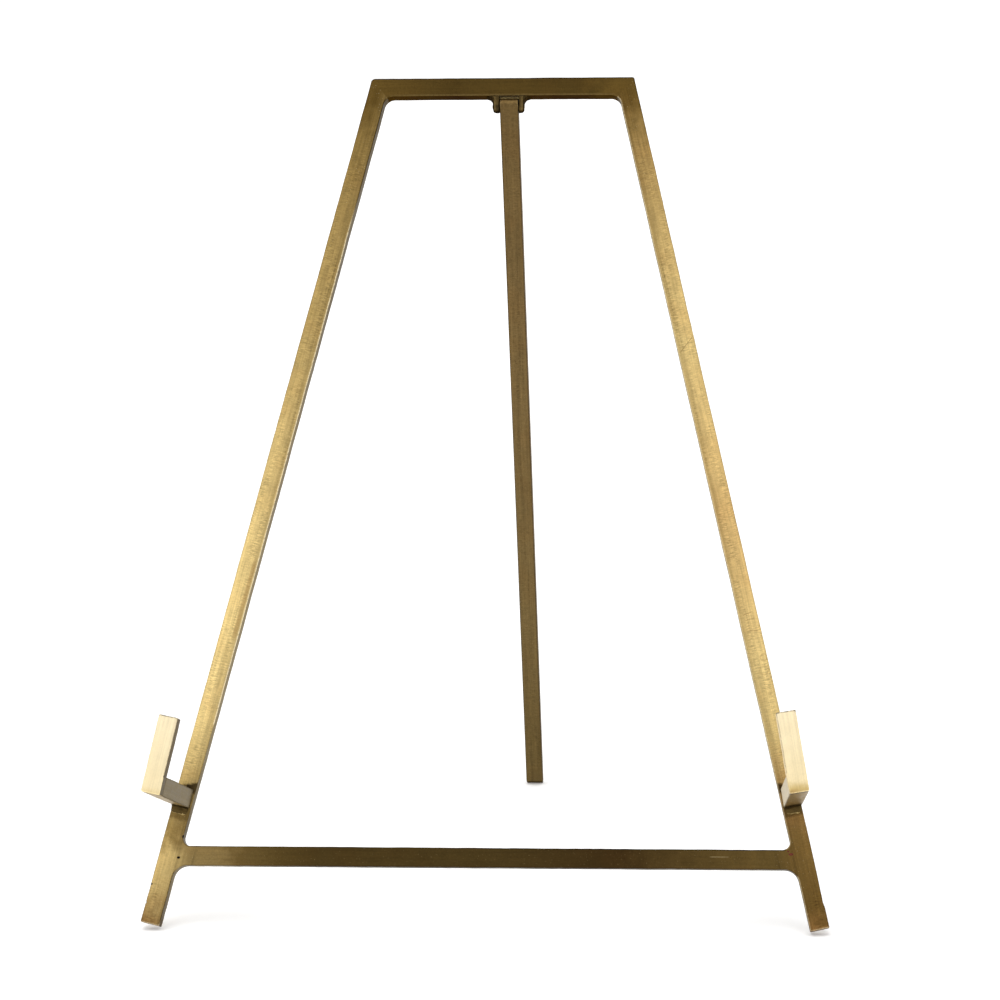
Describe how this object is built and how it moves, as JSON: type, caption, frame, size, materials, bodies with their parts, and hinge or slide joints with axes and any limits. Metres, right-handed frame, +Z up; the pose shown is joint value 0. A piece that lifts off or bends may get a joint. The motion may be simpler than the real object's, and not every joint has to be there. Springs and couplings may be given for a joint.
{
  "type": "display easel",
  "caption": "Tabletop display easel of antique brass bar: a splayed frame with lipped ledge hooks and a hinged rear strut that folds flat.",
  "frame": {"origin": "middle of the footprint on the surface that the easel stands on, with the strut open", "axes": "+Z up, -Y towards the viewer of the displayed piece, +X to that viewer's right"},
  "size_m": [0.221, 0.2364, 0.2689],
  "materials": {
    "rail_brass": "dark antique patina, lightly brushed",
    "leg_brass": "worn antique brass, cross-brushed",
    "cross_brass": "brown antique patina with light specks",
    "strut_brass": "dull mottled antique brass",
    "filler_brass": "ground braze metal with antique patina",
    "arm_brass": "satin brass, lightly toned",
    "lip_brass": "bright satin brass, brushed lengthwise",
    "hinge_brass": "dark antique patina",
    "pin_brass": "worn brass"
  },
  "bodies": {
    "frame": {"top_rail": "rail_brass", "left_leg": "leg_brass", "right_leg": "leg_brass", "cross_rail": "cross_brass", "top_left_fillet": "filler_brass", "top_right_fillet": "filler_brass", "cross_left_upper_fillet": "filler_brass", "cross_right_upper_fillet": "filler_brass", "cross_left_lower_fillet": "filler_brass", "cross_right_lower_fillet": "filler_brass", "left_ledge_arm": "arm_brass", "right_ledge_arm": "arm_brass", "left_ledge_lip": "lip_brass", "right_ledge_lip": "lip_brass", "left_arm_braze": "filler_brass", "right_arm_braze": "filler_brass", "left_hinge_ear": "hinge_brass", "right_hinge_ear": "hinge_brass", "hinge_pin": "pin_brass"},
    "strut": {"rear_strut": "strut_brass"}
  },
  "joints": [
    {"name": "strut_fold", "type": "hinge", "parent": "frame", "child": "strut", "pos_m": [0.00402, 0.01932, 0.25923], "axis": [-1, 0, 0], "range_deg": [0, 40]}
  ]
}
